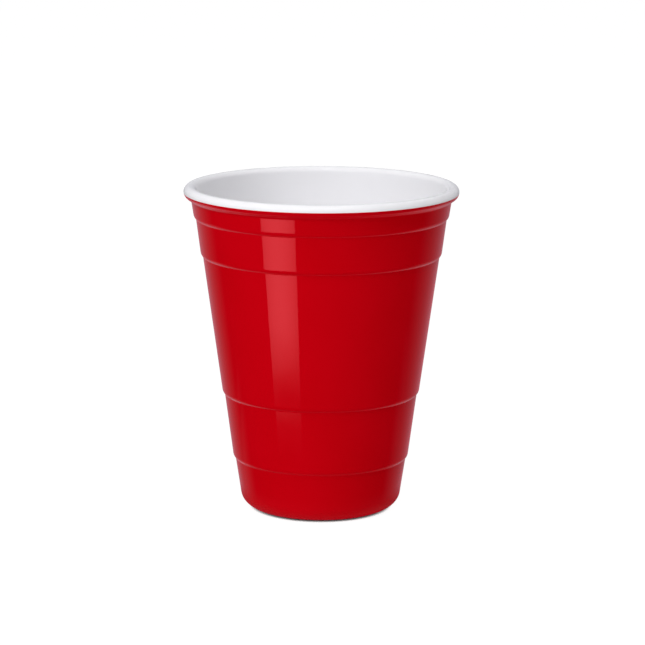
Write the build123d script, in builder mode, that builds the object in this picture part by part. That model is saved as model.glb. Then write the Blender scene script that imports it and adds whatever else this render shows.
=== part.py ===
from build123d import *
from math import asin, atan2, cos, degrees, hypot, radians, sin, tan
import os

# Two-colour party cup: a red stepped outer shell moulded round a white lining
# with a thick rounded lip. Millimetres, +Z up, origin at the centre of the base.

# Overall size
rim_diameter = 95.0
cup_height = 113.6

# Lip: a round bead that stands out over the wall, which it meets at the neck, a little
# nearer the axis than the middle of the bead
lip_radius = 2.15
neck_inset = 0.3

# Red edge that wraps the underside of the lip: its thickness where it ends, and how far
# below the lip's widest point that is
edge_thickness = 0.45
edge_drop = 0.2

# Steps round the wall, from the lowest: the height of each inside corner as a share of the
# cup's height, and its place between the base's radius and the neck's, as a share of the way
step_height_shares = (0.1563, 0.3583, 0.7848, 0.9001)
step_radius_shares = (0.1495, 0.3571, 0.7714, 0.9029)
step_depth = 0.63
shoulder_height = 1.4

# Base: rounded lower edge, foot ring inside it, and the recess inside the ring
base_radius = 27.2
base_corner = 5.6
foot_inset = 0.6
foot_height = 0.4
foot_width = 2.4
recess_depth = 0.9
base_thickness = 1.8

# White lining: its thickness, and the bevel on its lower outside corner
liner_thickness = 0.9
liner_bevel = 2.0

# Inside of the cup: how far the floor's edge lies in from the base's, and its round corner
floor_inset = 2.1
floor_corner = 4.0

# Centre of the lip's round section
lip_center_radius = rim_diameter / 2 - lip_radius
lip_center_height = cup_height - lip_radius
lip_center = (lip_center_radius, lip_center_height)


def point_in_lip(radius, angle):
    """Point of the lip's section, at this distance and angle from its centre."""
    return (
        lip_center_radius + radius * cos(radians(angle)),
        lip_center_height + radius * sin(radians(angle)),
    )


# Where the colours meet on the lip, and where the wall meets its underside: angles round
# its section are counted from straight out
edge_angle = -degrees(asin(edge_drop / lip_radius))
neck_angle = -90 - degrees(asin(neck_inset / lip_radius))
neck = point_in_lip(lip_radius, neck_angle)

# Inside corner of each step
steps = []
for height_share, radius_share in zip(step_height_shares, step_radius_shares):
    step_radius = base_radius + radius_share * (neck[0] - base_radius)
    steps.append((step_radius, height_share * cup_height))

foot_outer_radius = base_radius - base_corner - foot_inset
floor_height = recess_depth + base_thickness + liner_thickness
floor_radius = base_radius - floor_inset

# The inside wall rises from the floor and runs tangent into the lip
floor_to_lip = (lip_center_radius - floor_radius, lip_center_height - floor_height)
inside_lean = atan2(*floor_to_lip) - asin(lip_radius / hypot(*floor_to_lip))
inside_angle = 180 - degrees(inside_lean)

# The boundary between the colours runs parallel to the inside wall, up to the seat that
# slopes out under the lip
liner_offset = liner_thickness / cos(inside_lean)
boundary_floor = (
    floor_radius - liner_thickness * tan(inside_lean) + liner_offset,
    floor_height - liner_thickness,
)
seat_height = lip_center_height - lip_radius + edge_thickness
seat_start = (
    floor_radius + (seat_height - floor_height) * tan(inside_lean) + liner_offset,
    seat_height,
)


def draw_boundary():
    """Line between the two colours, from the axis to the lip's outer surface."""
    Polyline(
        (0, boundary_floor[1]),
        (boundary_floor[0] - liner_bevel, boundary_floor[1]),
        (boundary_floor[0] + liner_bevel * tan(inside_lean), boundary_floor[1] + liner_bevel),
        seat_start,
        point_in_lip(lip_radius - edge_thickness, edge_angle),
        point_in_lip(lip_radius, edge_angle),
    )


def draw_underside():
    """Recess, foot ring and flat lower face, from the axis to the lower corner."""
    Polyline(
        (0, recess_depth),
        (foot_outer_radius - foot_width, recess_depth),
        (foot_outer_radius - foot_width, 0),
        (foot_outer_radius, 0),
        (foot_outer_radius, foot_height),
        (base_radius, foot_height),
    )


def draw_stepped_wall():
    """Outer wall from the lower corner to the neck, with a rounded shoulder over each step."""
    start = (base_radius, foot_height)
    wall_tops = steps[1:] + [neck]
    for (radius, height), (top_radius, top_height) in zip(steps, wall_tops):
        corner = (radius, height)
        Line(start, corner)
        slope = (top_radius - radius - step_depth) / (top_height - height)
        shoulder = (radius + step_depth + slope * shoulder_height, height + shoulder_height)
        TangentArc(shoulder, corner, tangent=(-slope, -1))
        start = shoulder
    Line(start, neck)


# Outer shell: stepped red wall, base and the edge under the lip
with BuildPart() as outer_shell:
    with BuildSketch(Plane.XZ) as shell_section:
        with BuildLine():
            draw_underside()
            draw_stepped_wall()
            CenterArc(lip_center, lip_radius, neck_angle, edge_angle - neck_angle)
            draw_boundary()
            Line((0, recess_depth), (0, boundary_floor[1]))
        make_face()
        lower_corner = shell_section.vertices().sort_by_distance((base_radius, foot_height))[0]
        fillet(lower_corner, radius=base_corner)
    revolve(axis=Axis.Z)
outer_shell.part.label = "outer_shell"

# Inner liner: white lining with the rounded lip
with BuildPart() as inner_liner:
    with BuildSketch(Plane.XZ) as liner_section:
        with BuildLine():
            lip_top = CenterArc(lip_center, lip_radius, edge_angle, inside_angle - edge_angle)
            FilletPolyline(
                lip_top @ 1,
                (floor_radius, floor_height),
                (0, floor_height),
                radius=floor_corner,
            )
            draw_boundary()
            Line((0, floor_height), (0, boundary_floor[1]))
        make_face()
    revolve(axis=Axis.Z)
inner_liner.part.label = "inner_liner"

os.makedirs("parts", exist_ok=True)
export_step(outer_shell.part, "parts/outer_shell.step")
export_step(inner_liner.part, "parts/inner_liner.step")
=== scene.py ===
from math import asin, atan2, cos, hypot, pi, radians, sin, sqrt, tan

import bpy
from mathutils import Matrix, Vector


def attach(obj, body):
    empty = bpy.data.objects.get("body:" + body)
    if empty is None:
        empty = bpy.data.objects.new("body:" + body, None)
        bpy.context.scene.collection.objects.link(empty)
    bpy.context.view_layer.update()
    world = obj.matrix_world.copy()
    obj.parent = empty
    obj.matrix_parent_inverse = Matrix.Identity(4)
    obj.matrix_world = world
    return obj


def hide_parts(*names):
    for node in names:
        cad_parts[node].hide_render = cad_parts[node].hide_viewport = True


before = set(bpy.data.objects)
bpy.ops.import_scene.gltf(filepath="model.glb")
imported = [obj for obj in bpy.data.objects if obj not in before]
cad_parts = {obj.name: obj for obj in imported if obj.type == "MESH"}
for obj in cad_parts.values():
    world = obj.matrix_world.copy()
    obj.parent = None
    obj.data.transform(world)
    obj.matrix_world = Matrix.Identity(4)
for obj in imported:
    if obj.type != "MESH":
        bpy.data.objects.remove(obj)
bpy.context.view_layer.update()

# Sizes in metres, +Z up, with the cup's axis at the origin: the same as the solids'
rim_radius = 0.0475
cup_height = 0.1136
lip_radius = 0.00215
neck_inset = 0.0003
edge_thickness = 0.00045
edge_drop = 0.0002

# Steps round the wall, from the lowest: the height of each inside corner as a share of the
# cup's height, and its place between the base's radius and the neck's, as a share of the way
step_height_shares = (0.1563, 0.3583, 0.7848, 0.9001)
step_radius_shares = (0.1495, 0.3571, 0.7714, 0.9029)
step_depth = 0.00063
shoulder_height = 0.0014

# Base, inside and lining
base_radius = 0.0272
base_corner = 0.0056
base_thickness = 0.0018
foot_inset = 0.0006
foot_height = 0.0004
foot_width = 0.0024
recess_depth = 0.0009
floor_inset = 0.0021
floor_corner = 0.004
liner_thickness = 0.0009
liner_bevel = 0.002

# Small fillets that only the dressed cup has
step_fillet = 0.00045
neck_fillet = 0.001
foot_edge = 0.00015

# Fineness of the turned surfaces: rows of points stand close to both ends of a straight
# run, and a run shorter than this has none
segments = 360
arc_step = radians(6)
row_spacing = 0.012
row_margin = 0.00012
shortest_run = 8 * row_margin
crease_angle = radians(24)

# Plastic's fine texture: patches of each pattern in a metre, the stretch of the clouds'
# pattern over which the colour changes, and the height of the bumps
cloud_scale = 45
cloud_low = 0.3
cloud_high = 0.7
polish_scale = 160
wave_scale = 70
wave_height = 0.000012
skin_scale = 1500
skin_height = 0.0000006

# Plastic's gloss, the same for both colours
plastic_ior = 1.5
specular_level = 0.5
sheen_roughness = 0.3

# White floor: the light it gives the cup, what the camera sees of it, with painted contact shade
# round the base, and the grey that the gloss sees close to the base, which is painted shade for
# the cup's shadow there. The lit share takes the cup's real shadow
ground_size = 8.0
ground_glow = 0.76
ground_white = 0.98
ground_lit_share = 0.07
# Painted contact shade: the camera's white floor light is darkened where occlusion within this reach is
# strong
painted_shade_reach = 0.002
painted_shade_samples = 16
painted_shade_dark = 0.05
painted_shade_clear = 0.32
# Painted shade seen by the gloss: a dark grey floor close to the base, clear beyond
painted_shade_grey = 0.15
painted_shade_radius = 0.030
painted_shade_fade_radius = 0.045

# Studio as the cup's gloss reflects it: angles in degrees, with azimuth 0 towards the
# camera and positive to its right, and radiances where 1 is white
softbox_left = -58.0
softbox_right = -24.0
softbox_edge = 0.8
softbox_top = -20.0
softbox_fade_high = -26.0
softbox_fade_low = -27.9
softbox_tail_high = -27.5
softbox_tail_low = -28.35
softbox_tail_share = 0.07
softbox_slant = 0.05
softbox_strength = 3.75
softbox_edge_share = 0.55

# Room behind the cup: the azimuths from which each side gets paler, higher up and lower
# down, and how pale it gets
left_pale_from = 117.0
right_pale_from = 106.0
left_low_from = 107.0
right_low_from = 102.0
side_low_high = -20.6
side_low_low = -21.4
straight_back = 180.0
left_share = 1.15
rim_strength = 0.40
low_strength = 0.72
low_from = -15.0
low_to = -33.0

# Pale room above, and the slightly cool tint of all that the gloss sees
above_strength = 0.45
above_from = -8.0
above_to = 4.0
gloss_tint = (1, 1, 1.12, 1)
plain_tint = (1, 1, 1, 1)

# Soft light from the room: even all round, with more from behind
ambient_strength = 0.18
back_strength = 0.7
back_from = 115.0
back_to = 150.0
back_top = 35.0
back_fade = 50.0

# Lamps
lamp_distance = 1.2
cup_middle = (0, 0, 0.06)
lip_middle = (0, 0, 0.11)

# Camera at the photograph's place, height, lens and slight roll
camera_place = (0.00051, -0.951, 0.25635)
camera_pitch = radians(11.366)
camera_roll = radians(0.197)
camera_lens = 155.57
camera_sensor = 36

# Lip's round section, and where the walls run into it
lip_center = (rim_radius - lip_radius, cup_height - lip_radius)
neck = (lip_center[0] - neck_inset, lip_center[1] - sqrt(lip_radius**2 - neck_inset**2))
edge_angle = -asin(edge_drop / lip_radius)

# Steps, foot and inside, from the sizes above
steps = [
    (base_radius + radius_share * (neck[0] - base_radius), height_share * cup_height)
    for radius_share, height_share in zip(step_radius_shares, step_height_shares)
]
foot_outer_radius = base_radius - base_corner - foot_inset
floor_height = recess_depth + base_thickness + liner_thickness
floor_radius = base_radius - floor_inset
floor_to_lip = (lip_center[0] - floor_radius, lip_center[1] - floor_height)
inside_lean = atan2(*floor_to_lip) - asin(lip_radius / hypot(*floor_to_lip))
inside_angle = pi - inside_lean


def arc(center, radius, start, end):
    """Points round a circle in the (radius, height) plane, from one angle to the other."""
    count = max(2, round(abs(end - start) / arc_step))
    angles = [start + (end - start) * i / count for i in range(count + 1)]
    return [(center[0] + radius * cos(a), center[1] + radius * sin(a)) for a in angles]


def short_arc(center, radius, first, last):
    """Points round a circle the short way, between two directions from its centre."""
    start = atan2(first.y, first.x)
    turn = (atan2(last.y, last.x) - start + pi) % (2 * pi) - pi
    return arc(center, radius, start, start + turn)


def rounded(before, corner, after, radius):
    """Points of the fillet at a corner between two straight runs."""
    corner = Vector(corner)
    back = (Vector(before) - corner).normalized()
    ahead = (Vector(after) - corner).normalized()
    half = back.angle(ahead) / 2
    center = corner + (back + ahead).normalized() * radius / sin(half)
    first = corner + back * radius / tan(half) - center
    last = corner + ahead * radius / tan(half) - center
    return short_arc(center, radius, first, last)


def shoulder_arc(corner, top, slope):
    """Points from an inside corner up to the wall above, which the arc leaves along its slope."""
    chord = Vector(corner) - Vector(top)
    down = Vector((-slope, -1)).normalized()
    inward = Vector((-down.y, down.x))
    if inward.dot(chord) < 0:
        inward = -inward
    radius = chord.length_squared / (2 * inward.dot(chord))
    center = Vector(top) + inward * radius
    return short_arc(center, radius, Vector(corner) - center, Vector(top) - center)


def stepped_wall(start):
    """Outer wall from the base's corner to the neck: straight runs, fillets and round shoulders."""
    points = []
    for (radius, height), (top_radius, top_height) in zip(steps, steps[1:] + [neck]):
        slope = (top_radius - radius - step_depth) / (top_height - height)
        top = (radius + step_depth + slope * shoulder_height, height + shoulder_height)
        shoulder = shoulder_arc((radius, height), top, slope)
        points += rounded(start, shoulder[0], shoulder[1], step_fillet)
        points += [p for p in shoulder[1:] if hypot(p[0] - radius, p[1] - height) > step_fillet]
        start = top
    return points


def with_rows(outline):
    """The outline with extra points on its straight runs, close to both ends and in between."""
    points = [outline[0]]
    for a, b in zip(outline, outline[1:]):
        length = hypot(b[0] - a[0], b[1] - a[1])
        stops = []
        if length > shortest_run:
            inner = length - 2 * row_margin
            count = max(1, round(inner / row_spacing))
            stops = [row_margin + inner * i / count for i in range(count + 1)]
        points += [
            (a[0] + (b[0] - a[0]) * stop / length, a[1] + (b[1] - a[1]) * stop / length)
            for stop in stops
        ]
        points.append(b)
    return points


def boundary():
    """Line between the colours, from the lip's outer surface down to the axis."""
    offset = liner_thickness / cos(inside_lean)
    low_radius = floor_radius - liner_thickness * tan(inside_lean) + offset
    low_height = floor_height - liner_thickness
    seat_height = lip_center[1] - lip_radius + edge_thickness
    seat_radius = lip_radius - edge_thickness
    return [
        (lip_center[0] + lip_radius * cos(edge_angle), lip_center[1] + lip_radius * sin(edge_angle)),
        (lip_center[0] + seat_radius * cos(edge_angle), lip_center[1] + seat_radius * sin(edge_angle)),
        (floor_radius + (seat_height - floor_height) * tan(inside_lean) + offset, seat_height),
        (low_radius + liner_bevel * tan(inside_lean), low_height + liner_bevel),
        (low_radius - liner_bevel, low_height),
        (0, low_height),
    ]


def underside():
    """Recess and foot ring with its small rounded edges, from the axis out to the lower face."""
    center = (0, recess_depth)
    recess = (foot_outer_radius - foot_width, recess_depth)
    foot_inside = (foot_outer_radius - foot_width, 0)
    foot_outside = (foot_outer_radius, 0)
    ledge = (foot_outer_radius, foot_height)
    points = [center]
    points += rounded(center, recess, foot_inside, foot_edge)
    points += rounded(recess, foot_inside, foot_outside, foot_edge)
    points += rounded(foot_inside, foot_outside, ledge, foot_edge)
    points.append(ledge)
    return points


def shell_outline():
    """Closed section of the red shell, from the axis under the base round to the axis inside."""
    points = underside()
    points += rounded(points[-1], (base_radius, foot_height), steps[0], base_corner)
    points += stepped_wall(points[-1])
    neck_angle = atan2(neck[1] - lip_center[1], neck[0] - lip_center[0])
    lip_edge = arc(lip_center, lip_radius, neck_angle, edge_angle)
    points += rounded(points[-1], neck, lip_edge[1], neck_fillet)
    points += [p for p in lip_edge if hypot(p[0] - neck[0], p[1] - neck[1]) > neck_fillet]
    return with_rows(points[:-1] + boundary())


def liner_outline():
    """Closed section of the white lining, from the axis under its floor round to the cup's floor."""
    lip = arc(lip_center, lip_radius, edge_angle, inside_angle)
    inside_floor = (0, floor_height)
    points = boundary()[::-1] + lip[1:]
    points += rounded(lip[-1], (floor_radius, floor_height), inside_floor, floor_corner)
    points.append(inside_floor)
    return with_rows(points)


def turned(name, outline):
    """Mesh object turned round Z from a closed section whose two ends lie on the axis."""
    verts, rings = [], []
    for radius, height in outline:
        count = segments if radius > 0 else 1
        rings.append([len(verts) + i for i in range(count)])
        angles = [2 * pi * i / segments for i in range(count)]
        verts += [(radius * cos(a), radius * sin(a), height) for a in angles]
    faces = []
    for lower, upper in zip(rings, rings[1:]):
        for i in range(segments):
            j = (i + 1) % segments
            low = [lower[i % len(lower)], lower[j % len(lower)]]
            high = [upper[j % len(upper)], upper[i % len(upper)]]
            faces.append(list(dict.fromkeys(low + high)))
    mesh = bpy.data.meshes.new(name)
    mesh.from_pydata(verts, [], faces)
    mesh.shade_smooth()
    mesh.set_sharp_from_angle(angle=crease_angle)
    piece = bpy.data.objects.new(name, mesh)
    bpy.context.scene.collection.objects.link(piece)
    return piece


class Nodes:
    """Short way to add linked nodes to a material's or the world's tree."""

    def __init__(self, tree):
        self.tree = tree
        tree.nodes.clear()

    def add(self, kind, values=None, **settings):
        """A node with these settings, and each input linked to a socket or set to a value."""
        node = self.tree.nodes.new(kind)
        for key, value in settings.items():
            setattr(node, key, value)
        for key, value in (values or {}).items():
            if isinstance(value, bpy.types.NodeSocket):
                self.tree.links.new(value, node.inputs[key])
            else:
                node.inputs[key].default_value = value
        return node

    def math(self, operation, *values):
        """Result of one sum on sockets or numbers."""
        return self.add("ShaderNodeMath", dict(enumerate(values)), operation=operation).outputs[0]

    def ramp(self, value, low, high, smooth=True):
        """0 at low and 1 at high, with a soft or straight change between them."""
        kind = "SMOOTHSTEP" if smooth else "LINEAR"
        values = {"Value": value, "From Min": low, "From Max": high}
        return self.add("ShaderNodeMapRange", values, interpolation_type=kind).outputs[0]

    def noise(self, place, scale, detail, roughness=0.5):
        """Soft random pattern with this many patches in a metre."""
        values = {"Vector": place, "Scale": scale, "Detail": detail, "Roughness": roughness}
        return self.add("ShaderNodeTexNoise", values).outputs["Fac"]

    def choose(self, share, first, second):
        """The first shader where share is 0 and the second where it is 1."""
        return self.add("ShaderNodeMixShader", {0: share, 1: first, 2: second}).outputs[0]


def material(name):
    """New material and its nodes."""
    made = bpy.data.materials.new(name)
    made.use_nodes = True
    return made, Nodes(made.node_tree)


def gloss_plastic(name, color, shade, roughness, rough_spread, tint, sheen, sheen_tint):
    """Moulded gloss plastic: faint cloudy colour, uneven polish and a slightly wavy skin."""
    made, nodes = material(name)
    place = nodes.add("ShaderNodeTexCoord").outputs["Object"]
    cloudiness = nodes.ramp(nodes.noise(place, cloud_scale, detail=3, roughness=0.55), cloud_low, cloud_high)
    base = nodes.add("ShaderNodeMix", {0: cloudiness, 6: (*color, 1), 7: (*shade, 1)}, data_type="RGBA")
    polish = {
        "Value": nodes.noise(place, polish_scale, detail=4, roughness=0.6),
        "To Min": roughness - rough_spread,
        "To Max": roughness + rough_spread,
    }
    waves = {"Height": nodes.noise(place, wave_scale, detail=1), "Strength": 1.0, "Distance": wave_height}
    skin = {
        "Height": nodes.noise(place, skin_scale, detail=2),
        "Strength": 1.0,
        "Distance": skin_height,
        "Normal": nodes.add("ShaderNodeBump", waves).outputs[0],
    }
    surface = nodes.add(
        "ShaderNodeBsdfPrincipled",
        {
            "Base Color": base.outputs[2],
            "Roughness": nodes.add("ShaderNodeMapRange", polish).outputs[0],
            "IOR": plastic_ior,
            "Specular IOR Level": specular_level,
            "Specular Tint": (*tint, 1),
            "Sheen Weight": sheen,
            "Sheen Roughness": sheen_roughness,
            "Sheen Tint": (*sheen_tint, 1),
            "Normal": nodes.add("ShaderNodeBump", skin).outputs[0],
        },
    )
    nodes.add("ShaderNodeOutputMaterial", {"Surface": surface.outputs[0]})
    return made


red_gloss = gloss_plastic(
    "red_gloss",
    color=(0.619, 0.0002, 0.0055),
    shade=(0.599, 0.0002, 0.0047),
    roughness=0.02,
    rough_spread=0.008,
    tint=(1.0, 0.2, 0.205),
    sheen=0.66,
    sheen_tint=(1.0, 0.02, 0.07),
)
white_gloss = gloss_plastic(
    "white_gloss",
    color=(0.916, 0.910, 0.934),
    shade=(0.905, 0.899, 0.924),
    roughness=0.15,
    rough_spread=0.03,
    tint=(1.0, 1.0, 1.0),
    sheen=0.0,
    sheen_tint=(1.0, 1.0, 1.0),
)

shell = turned("red_shell", shell_outline())
shell.data.materials.append(red_gloss)
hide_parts("outer_shell")
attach(shell, "root")

lining = turned("white_lining", liner_outline())
lining.data.materials.append(white_gloss)
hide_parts("inner_liner")
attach(lining, "root")


def emission(nodes, strength):
    """White light of this strength."""
    return nodes.add("ShaderNodeEmission", {"Strength": strength}).outputs[0]


def diffuse(nodes, grey):
    """Plain lit grey."""
    return nodes.add("ShaderNodeBsdfDiffuse", {"Color": (grey, grey, grey, 1)}).outputs[0]


def pale_floor():
    """Plain white floor. To the camera it is white by its own light, with painted contact shade, a dark
    line where occlusion darkens that light round the base, and a small lit share that takes the cup's
    real shadow. It lights the cup as a white floor in a bright room would, and the gloss sees a grey
    patch near the base, painted shade for the cup's shadow there, and the room beyond."""
    made, nodes = material("floor_white")
    path = nodes.add("ShaderNodeLightPath")
    occlusion = nodes.add("ShaderNodeAmbientOcclusion", {"Distance": painted_shade_reach}, samples=painted_shade_samples)
    # Painted shade: occlusion darkens the floor's own white light in a thin line round the base
    painted_contact_shade = nodes.ramp(occlusion.outputs["AO"], painted_shade_dark, painted_shade_clear)
    white = emission(nodes, nodes.math("MULTIPLY", painted_contact_shade, ground_white))
    shadowed = diffuse(nodes, ground_lit_share)
    seen = nodes.add("ShaderNodeAddShader", {0: white, 1: shadowed}).outputs[0]
    place = nodes.add("ShaderNodeTexCoord").outputs["Object"]
    distance = nodes.add("ShaderNodeVectorMath", {0: place}, operation="LENGTH").outputs["Value"]
    # Painted shade for the gloss: the floor near the base is dark grey, and clear further out
    away = nodes.ramp(distance, painted_shade_radius, painted_shade_fade_radius)
    clear = nodes.add("ShaderNodeBsdfTransparent").outputs[0]
    reflected = nodes.choose(away, diffuse(nodes, painted_shade_grey), clear)
    lit = nodes.choose(path.outputs["Is Glossy Ray"], emission(nodes, ground_glow), reflected)
    surface = nodes.choose(path.outputs["Is Camera Ray"], lit, seen)
    nodes.add("ShaderNodeOutputMaterial", {"Surface": surface})
    half = ground_size / 2
    corners = [(-half, -half, 0), (half, -half, 0), (half, half, 0), (-half, half, 0)]
    mesh = bpy.data.meshes.new("floor")
    mesh.from_pydata(corners, [], [(0, 1, 2, 3)])
    mesh.materials.append(made)
    floor = bpy.data.objects.new("floor", mesh)
    bpy.context.scene.collection.objects.link(floor)


def softbox(nodes, azimuth, elevation):
    """Softbox at the left front: sharp upright edges, brighter in the middle, and a soft fade
    at its lower end."""
    left = nodes.ramp(azimuth, softbox_left, softbox_left + softbox_edge)
    right = nodes.ramp(azimuth, softbox_right, softbox_right - softbox_edge)
    middle = (softbox_left + softbox_right) / 2
    half_width = (softbox_right - softbox_left) / 2
    off_middle = nodes.math("SUBTRACT", azimuth, middle)
    from_middle = nodes.math("MULTIPLY", off_middle, 1 / half_width)
    squared = nodes.math("MULTIPLY", from_middle, from_middle)
    bright = nodes.math("MULTIPLY_ADD", squared, softbox_edge_share - 1, 1)
    slanted = nodes.math("MULTIPLY_ADD", off_middle, softbox_slant, elevation)
    main = nodes.ramp(slanted, softbox_fade_low, softbox_fade_high)
    tail = nodes.ramp(slanted, softbox_tail_low, softbox_tail_high, smooth=False)
    faint = nodes.math("MULTIPLY", tail, softbox_tail_share)
    faded = nodes.math("MULTIPLY_ADD", main, 1 - softbox_tail_share, faint)
    upright = nodes.math("MULTIPLY", faded, nodes.ramp(elevation, softbox_top, softbox_top - softbox_edge))
    inside = nodes.math("MULTIPLY", nodes.math("MULTIPLY", left, right), upright)
    return nodes.math("MULTIPLY", nodes.math("MULTIPLY", inside, softbox_strength), bright)


def room(nodes, azimuth, elevation):
    """Room that the gloss sees: paler away from the camera, paler still lower down, and pale above."""
    lower = nodes.ramp(elevation, side_low_high, side_low_low)
    right_from = nodes.math("MULTIPLY_ADD", lower, right_low_from - right_pale_from, right_pale_from)
    left_from = nodes.math("MULTIPLY_ADD", lower, left_pale_from - left_low_from, -left_pale_from)
    right = nodes.ramp(azimuth, right_from, straight_back, smooth=False)
    left = nodes.math("MULTIPLY", nodes.ramp(azimuth, left_from, -straight_back, smooth=False), left_share)
    depth = nodes.ramp(elevation, low_from, low_to)
    strength = nodes.math("MULTIPLY_ADD", depth, low_strength - rim_strength, rim_strength)
    behind = nodes.math("MULTIPLY", nodes.math("ADD", right, left), strength)
    above = nodes.math("MULTIPLY", nodes.ramp(elevation, above_from, above_to), above_strength)
    return nodes.math("MAXIMUM", behind, above)


def soft_light(nodes, azimuth, elevation):
    """Light that the room gives the cup: even all round, with more from behind, up to a height."""
    sideways = nodes.ramp(nodes.math("ABSOLUTE", azimuth), back_from, back_to)
    back = nodes.math("MULTIPLY", sideways, nodes.ramp(elevation, back_fade, back_top))
    return nodes.math("MULTIPLY_ADD", back, back_strength, ambient_strength)


def studio_world():
    """White to the camera. The gloss sees a dark front with one softbox and a paler room behind,
    and the rest of the light is soft and even."""
    world = bpy.data.worlds.new("studio")
    bpy.context.scene.world = world
    world.use_nodes = True
    nodes = Nodes(world.node_tree)
    ray = nodes.add("ShaderNodeSeparateXYZ", {0: nodes.add("ShaderNodeTexCoord").outputs["Generated"]})
    front = nodes.math("MULTIPLY", ray.outputs["Y"], -1)
    azimuth = nodes.math("DEGREES", nodes.math("ARCTAN2", ray.outputs["X"], front))
    elevation = nodes.math("DEGREES", nodes.math("ARCSINE", ray.outputs["Z"]))
    reflected = nodes.math("ADD", room(nodes, azimuth, elevation), softbox(nodes, azimuth, elevation))
    soft = soft_light(nodes, azimuth, elevation)
    path = nodes.add("ShaderNodeLightPath")
    glossy = path.outputs["Is Glossy Ray"]
    lit = nodes.add("ShaderNodeMix", {0: glossy, 2: soft, 3: reflected}).outputs[0]
    seen = nodes.add("ShaderNodeMix", {0: path.outputs["Is Camera Ray"], 2: lit, 3: 1.0}).outputs[0]
    hue = nodes.add("ShaderNodeMix", {0: glossy, 6: plain_tint, 7: gloss_tint}, data_type="RGBA").outputs[2]
    background = nodes.add("ShaderNodeBackground", {"Color": hue, "Strength": seen})
    nodes.add("ShaderNodeOutputWorld", {"Surface": background.outputs[0]})


def area_lamp(name, azimuth, elevation, size, strength, aim=cup_middle, height=None):
    """Lamp aimed at the cup, square unless it has a height of its own. Strength is the irradiance
    it gives there, over pi."""
    data = bpy.data.lights.new(name, "AREA")
    data.shape = "RECTANGLE" if height else "SQUARE"
    data.size = size
    data.size_y = height or size
    data.energy = strength * pi * pi * lamp_distance**2
    lamp = bpy.data.objects.new(name, data)
    bpy.context.scene.collection.objects.link(lamp)
    a, e = radians(azimuth), radians(elevation)
    toward = Vector((sin(a) * cos(e), -cos(a) * cos(e), sin(e)))
    lamp.location = Vector(aim) + toward * lamp_distance
    lamp.rotation_mode = "QUATERNION"
    lamp.rotation_quaternion = toward.to_track_quat("Z", "Y")
    return lamp


def camera():
    """Camera that looks across at the cup and a little down."""
    data = bpy.data.cameras.new("camera")
    data.lens = camera_lens
    data.sensor_width = camera_sensor
    seen_from = bpy.data.objects.new("camera", data)
    bpy.context.scene.collection.objects.link(seen_from)
    turn = Matrix.Rotation(pi / 2 - camera_pitch, 3, "X") @ Matrix.Rotation(camera_roll, 3, "Z")
    seen_from.rotation_euler = turn.to_euler()
    seen_from.location = camera_place
    bpy.context.scene.camera = seen_from


pale_floor()
studio_world()

# The key and the high lamp only light the cup, and the spark also shows as a highlight
key = area_lamp("key", azimuth=-40, elevation=30, size=0.7, strength=0.475)
key.visible_glossy = False
high = area_lamp("high", azimuth=22, elevation=72, size=0.5, strength=0.46)
high.visible_glossy = False
area_lamp("spark", azimuth=-14, elevation=43, size=0.26, strength=0.035, aim=lip_middle, height=0.4)

camera()
bpy.context.scene.view_settings.view_transform = "Standard"
